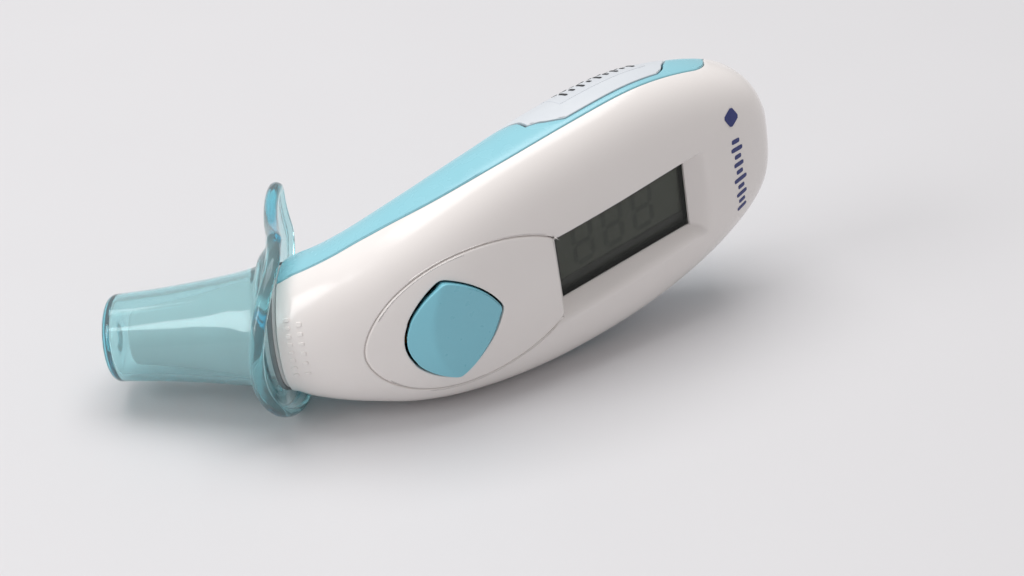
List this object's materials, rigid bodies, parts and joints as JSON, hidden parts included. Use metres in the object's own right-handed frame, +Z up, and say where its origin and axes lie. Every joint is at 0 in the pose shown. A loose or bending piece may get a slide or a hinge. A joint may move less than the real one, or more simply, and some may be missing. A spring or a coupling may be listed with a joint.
{
  "type": "ear thermometer",
  "caption": "Handheld infrared ear thermometer with a curved two-colour body, a display window, a thumb button and a clear slip-on probe cap with a tab.",
  "frame": {"origin": "on the surface the thermometer lies on, under the middle of its bounding box", "axes": "+X along the body towards the tail, -Y is the side the display faces, +Z up from the surface it lies on"},
  "size_m": [0.1136, 0.0498, 0.0463],
  "materials": {
    "front_shell": "gloss",
    "back_shell": "gloss",
    "button_panel": "gloss",
    "display_bezel": "gloss",
    "display_lens": "clear",
    "lens_gasket": "matte",
    "lcd_glass": "clear",
    "lcd_frame": "matte",
    "zebra_strips": "matte",
    "circuit_board": "satin",
    "switch_body": "matte",
    "microcontroller": "matte",
    "chip_parts": "matte",
    "crystal": "brushed",
    "buzzer": "matte",
    "probe_nose": "gloss",
    "probe_window": "clear",
    "tip_ring": "polished",
    "seal_ring": "matte",
    "waveguide": "polished",
    "sensor_holder": "satin",
    "sensor_can": "satin",
    "sensor_leads": "satin",
    "sensor_board": "satin",
    "sensor_ribbon": "satin",
    "battery_tray": "matte",
    "contact_plates": "satin",
    "contact_springs": "satin",
    "cell_a": "satin",
    "cell_b": "satin",
    "screw_posts": "matte",
    "shell_screws": "satin",
    "button": "satin gloss",
    "switch_plunger": "matte",
    "probe_cap": "clear gloss",
    "battery_door": "satin",
    "door_label": "satin",
    "door_screw": "satin"
  },
  "bodies": {
    "housing": {"front_shell": "front_shell", "back_shell": "back_shell", "button_panel": "button_panel", "display_bezel": "display_bezel", "display_lens": "display_lens", "lens_gasket": "lens_gasket", "lcd_glass": "lcd_glass", "lcd_frame": "lcd_frame", "zebra_strips": "zebra_strips", "circuit_board": "circuit_board", "switch_body": "switch_body", "microcontroller": "microcontroller", "chip_parts": "chip_parts", "crystal": "crystal", "buzzer": "buzzer", "probe_nose": "probe_nose", "probe_window": "probe_window", "tip_ring": "tip_ring", "seal_ring": "seal_ring", "waveguide": "waveguide", "sensor_holder": "sensor_holder", "sensor_can": "sensor_can", "sensor_leads": "sensor_leads", "sensor_board": "sensor_board", "sensor_ribbon": "sensor_ribbon", "battery_tray": "battery_tray", "contact_plates": "contact_plates", "contact_springs": "contact_springs", "cell_a": "cell_a", "cell_b": "cell_b", "screw_posts": "screw_posts", "shell_screws": "shell_screws"},
    "button": {"button": "button"},
    "switch_plunger": {"switch_plunger": "switch_plunger"},
    "probe_cap": {"probe_cap": "probe_cap"},
    "battery_door": {"battery_door": "battery_door", "door_label": "door_label", "door_screw": "door_screw"}
  },
  "joints": [
    {"name": "button_press", "type": "slide", "parent": "housing", "child": "button", "axis": [0.005, 0.9996, -0.0292], "range_m": [0, 0.0004], "stiffness_N_per_m": 2000},
    {"name": "plunger_press", "type": "slide", "parent": "housing", "child": "switch_plunger", "axis": [0.005, 0.9996, -0.0292], "range_m": [0, 0.0004]},
    {"name": "cap_slide", "type": "slide", "parent": "housing", "child": "probe_cap", "axis": [-0.7516, 0.6425, -0.1492], "range_m": [0, 0.035]},
    {"name": "door_lift", "type": "slide", "parent": "housing", "child": "battery_door", "axis": [0.1336, 0.991, -0.0068], "range_m": [0, 0.02]}
  ],
  "couplings": [
    {"joint": "plunger_press", "follows": "button_press", "ratio": 1}
  ]
}
